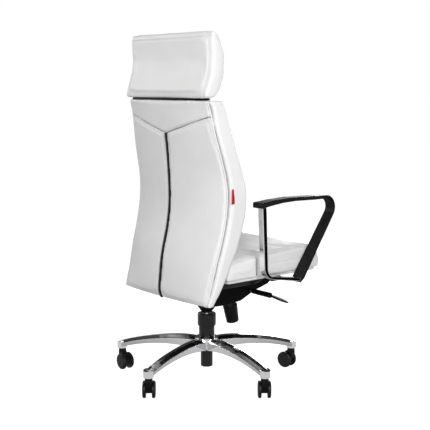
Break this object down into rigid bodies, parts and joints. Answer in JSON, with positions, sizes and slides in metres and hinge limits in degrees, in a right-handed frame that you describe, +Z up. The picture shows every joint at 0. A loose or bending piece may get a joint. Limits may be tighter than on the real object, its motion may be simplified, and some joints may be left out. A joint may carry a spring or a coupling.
{
  "type": "swivel office chair",
  "caption": "High-back swivel office chair with headrest, loop armrests, tilt mechanism, gas lift and a star base on twin-wheel castors.",
  "frame": {"origin": "on the floor, under the swivel axis", "axes": "+Z up, the sitter faces -Y, the sitter's right hand is at -X"},
  "size_m": [0.6577, 0.7082, 1.237],
  "materials": {
    "polished_aluminium": "polished",
    "chrome_bar": "polished",
    "black_steel": "satin",
    "bright_steel": "satin",
    "black_plastic": "satin",
    "natural_plastic": "satin",
    "plywood": "matte",
    "white_leather": "satin",
    "black_trim": "satin",
    "red_tag": "matte",
    "wheel_black": "satin"
  },
  "bodies": {
    "base": {"base_casting": "polished_aluminium", "castor_stems": "bright_steel", "column_tube": "black_steel", "guide_bush": "natural_plastic", "lower_sleeve": "black_plastic"},
    "spindle": {"piston_rod": "bright_steel", "thrust_bearing": "bright_steel"},
    "middle_sleeve": {"middle_sleeve": "black_plastic"},
    "lift": {"gas_cylinder": "bright_steel", "upper_sleeve": "black_plastic", "mechanism_housing": "black_steel", "pivot_shaft": "bright_steel", "torsion_springs": "black_steel"},
    "button": {"release_button": "natural_plastic"},
    "actuator": {"actuator_plate": "black_steel"},
    "lever_pivot": {"lever_pivot": "black_steel"},
    "lever": {"lever_rod": "bright_steel", "lever_grip": "black_plastic"},
    "knob": {"tension_knob": "black_plastic", "tension_bolt": "bright_steel"},
    "nut": {"tension_nut": "black_steel"},
    "tilt": {"seat_plate": "black_steel", "seat_board": "plywood", "underseat_cover": "black_plastic", "seat_rear_pad": "white_leather", "seat_front_pad": "white_leather", "arm_mounts": "black_steel", "fasteners": "bright_steel", "back_bracket": "black_steel", "back_board": "plywood", "back_cushion": "white_leather", "side_gussets": "white_leather", "rear_panel_right": "white_leather", "rear_panel_left": "white_leather", "yoke_panel": "white_leather", "centre_piping": "black_trim", "side_tag": "red_tag", "headrest_bracket": "black_steel", "headrest_pad": "white_leather", "arm_bar_right": "chrome_bar", "arm_bar_left": "chrome_bar", "arm_pad_right": "black_plastic", "arm_pad_left": "black_plastic", "arm_band_right": "black_plastic", "arm_band_left": "black_plastic"},
    "castor_1": {"castor_1_housing": "black_plastic"},
    "castor_1_wl": {"castor_1_wheel_left": "wheel_black"},
    "castor_1_wr": {"castor_1_wheel_right": "wheel_black"},
    "castor_2": {"castor_2_housing": "black_plastic"},
    "castor_2_wl": {"castor_2_wheel_left": "wheel_black"},
    "castor_2_wr": {"castor_2_wheel_right": "wheel_black"},
    "castor_3": {"castor_3_housing": "black_plastic"},
    "castor_3_wl": {"castor_3_wheel_left": "wheel_black"},
    "castor_3_wr": {"castor_3_wheel_right": "wheel_black"},
    "castor_4": {"castor_4_housing": "black_plastic"},
    "castor_4_wl": {"castor_4_wheel_left": "wheel_black"},
    "castor_4_wr": {"castor_4_wheel_right": "wheel_black"},
    "castor_5": {"castor_5_housing": "black_plastic"},
    "castor_5_wl": {"castor_5_wheel_left": "wheel_black"},
    "castor_5_wr": {"castor_5_wheel_right": "wheel_black"}
  },
  "joints": [
    {"name": "seat_swivel", "type": "hinge", "parent": "base", "child": "spindle", "pos_m": [0, 0, 0.1], "axis": [0, 0, 1], "continuous": true},
    {"name": "seat_height", "type": "slide", "parent": "spindle", "child": "lift", "axis": [0, 0, 1], "range_m": [0, 0.075]},
    {"name": "middle_sleeve_slide", "type": "slide", "parent": "spindle", "child": "middle_sleeve", "axis": [0, 0, 1], "range_m": [0, 0.0375]},
    {"name": "tilt", "type": "hinge", "parent": "lift", "child": "tilt", "pos_m": [0, -0.2, 0.35], "axis": [-1, 0, 0], "range_deg": [0, 15], "stiffness_Nm_per_rad": 150, "springref_deg": -20.05},
    {"name": "lever_lift", "type": "hinge", "parent": "lift", "child": "lever_pivot", "pos_m": [-0.035, -0.165, 0.305], "axis": [0, 1, 0], "range_deg": [0, 10], "stiffness_Nm_per_rad": 1.2, "springref_deg": -6.88},
    {"name": "lever_pull", "type": "slide", "parent": "lever_pivot", "child": "lever", "axis": [-1, 0, 0], "range_m": [0, 0.012]},
    {"name": "actuator_press", "type": "hinge", "parent": "lift", "child": "actuator", "pos_m": [0, -0.232, 0.32], "axis": [-1, 0, 0], "range_deg": [0, 0.75]},
    {"name": "button_press", "type": "slide", "parent": "lift", "child": "button", "axis": [0, 0, -1], "range_m": [0, 0.003]},
    {"name": "knob_turn", "type": "hinge", "parent": "lift", "child": "knob", "pos_m": [0, -0.113, 0.249], "axis": [0, 0.2096, 0.9778], "range_deg": [0, 1800]},
    {"name": "nut_travel", "type": "slide", "parent": "lift", "child": "nut", "axis": [0, -0.2096, -0.9778], "range_m": [0, 0.0075]},
    {"name": "castor_1_swivel", "type": "hinge", "parent": "base", "child": "castor_1", "pos_m": [0.25662, -0.21533, 0.07], "axis": [0, 0, 1], "continuous": true},
    {"name": "castor_1_left_roll", "type": "hinge", "parent": "castor_1", "child": "castor_1_wl", "pos_m": [0.25333, -0.19662, 0.03], "axis": [-0.9848, -0.1736, 0], "continuous": true},
    {"name": "castor_1_right_roll", "type": "hinge", "parent": "castor_1", "child": "castor_1_wr", "pos_m": [0.25333, -0.19662, 0.03], "axis": [-0.9848, -0.1736, 0], "continuous": true},
    {"name": "castor_2_swivel", "type": "hinge", "parent": "base", "child": "castor_2", "pos_m": [0.2841, 0.17752, 0.07], "axis": [0, 0, 1], "continuous": true},
    {"name": "castor_2_left_roll", "type": "hinge", "parent": "castor_2", "child": "castor_2_wl", "pos_m": [0.26511, 0.17819, 0.03], "axis": [-0.0349, -0.9994, 0], "continuous": true},
    {"name": "castor_2_right_roll", "type": "hinge", "parent": "castor_2", "child": "castor_2_wr", "pos_m": [0.26511, 0.17819, 0.03], "axis": [-0.0349, -0.9994, 0], "continuous": true},
    {"name": "castor_3_swivel", "type": "hinge", "parent": "base", "child": "castor_3", "pos_m": [-0.08104, 0.32505, 0.07], "axis": [0, 0, 1], "continuous": true},
    {"name": "castor_3_left_roll", "type": "hinge", "parent": "castor_3", "child": "castor_3_wl", "pos_m": [-0.06649, 0.31284, 0.03], "axis": [0.6428, 0.766, 0], "continuous": true},
    {"name": "castor_3_right_roll", "type": "hinge", "parent": "castor_3", "child": "castor_3_wr", "pos_m": [-0.06649, 0.31284, 0.03], "axis": [0.6428, 0.766, 0], "continuous": true},
    {"name": "castor_4_swivel", "type": "hinge", "parent": "base", "child": "castor_4", "pos_m": [-0.33418, 0.02337, 0.07], "axis": [0, 0, 1], "continuous": true},
    {"name": "castor_4_left_roll", "type": "hinge", "parent": "castor_4", "child": "castor_4_wl", "pos_m": [-0.31963, 0.01115, 0.03], "axis": [0.6428, 0.766, 0], "continuous": true},
    {"name": "castor_4_right_roll", "type": "hinge", "parent": "castor_4", "child": "castor_4_wr", "pos_m": [-0.31963, 0.01115, 0.03], "axis": [0.6428, 0.766, 0], "continuous": true},
    {"name": "castor_5_swivel", "type": "hinge", "parent": "base", "child": "castor_5", "pos_m": [-0.12549, -0.31061, 0.07], "axis": [0, 0, 1], "continuous": true},
    {"name": "castor_5_left_roll", "type": "hinge", "parent": "castor_5", "child": "castor_5_wl", "pos_m": [-0.10678, -0.30731, 0.03], "axis": [-0.1736, 0.9848, 0], "continuous": true},
    {"name": "castor_5_right_roll", "type": "hinge", "parent": "castor_5", "child": "castor_5_wr", "pos_m": [-0.10678, -0.30731, 0.03], "axis": [-0.1736, 0.9848, 0], "continuous": true}
  ],
  "couplings": [
    {"joint": "middle_sleeve_slide", "follows": "seat_height", "ratio": 0.5},
    {"joint": "actuator_press", "follows": "lever_lift", "ratio": 0.074},
    {"joint": "button_press", "follows": "lever_lift", "m_per_rad": 0.0171},
    {"joint": "nut_travel", "follows": "knob_turn", "m_per_rad": 0.00023873}
  ]
}
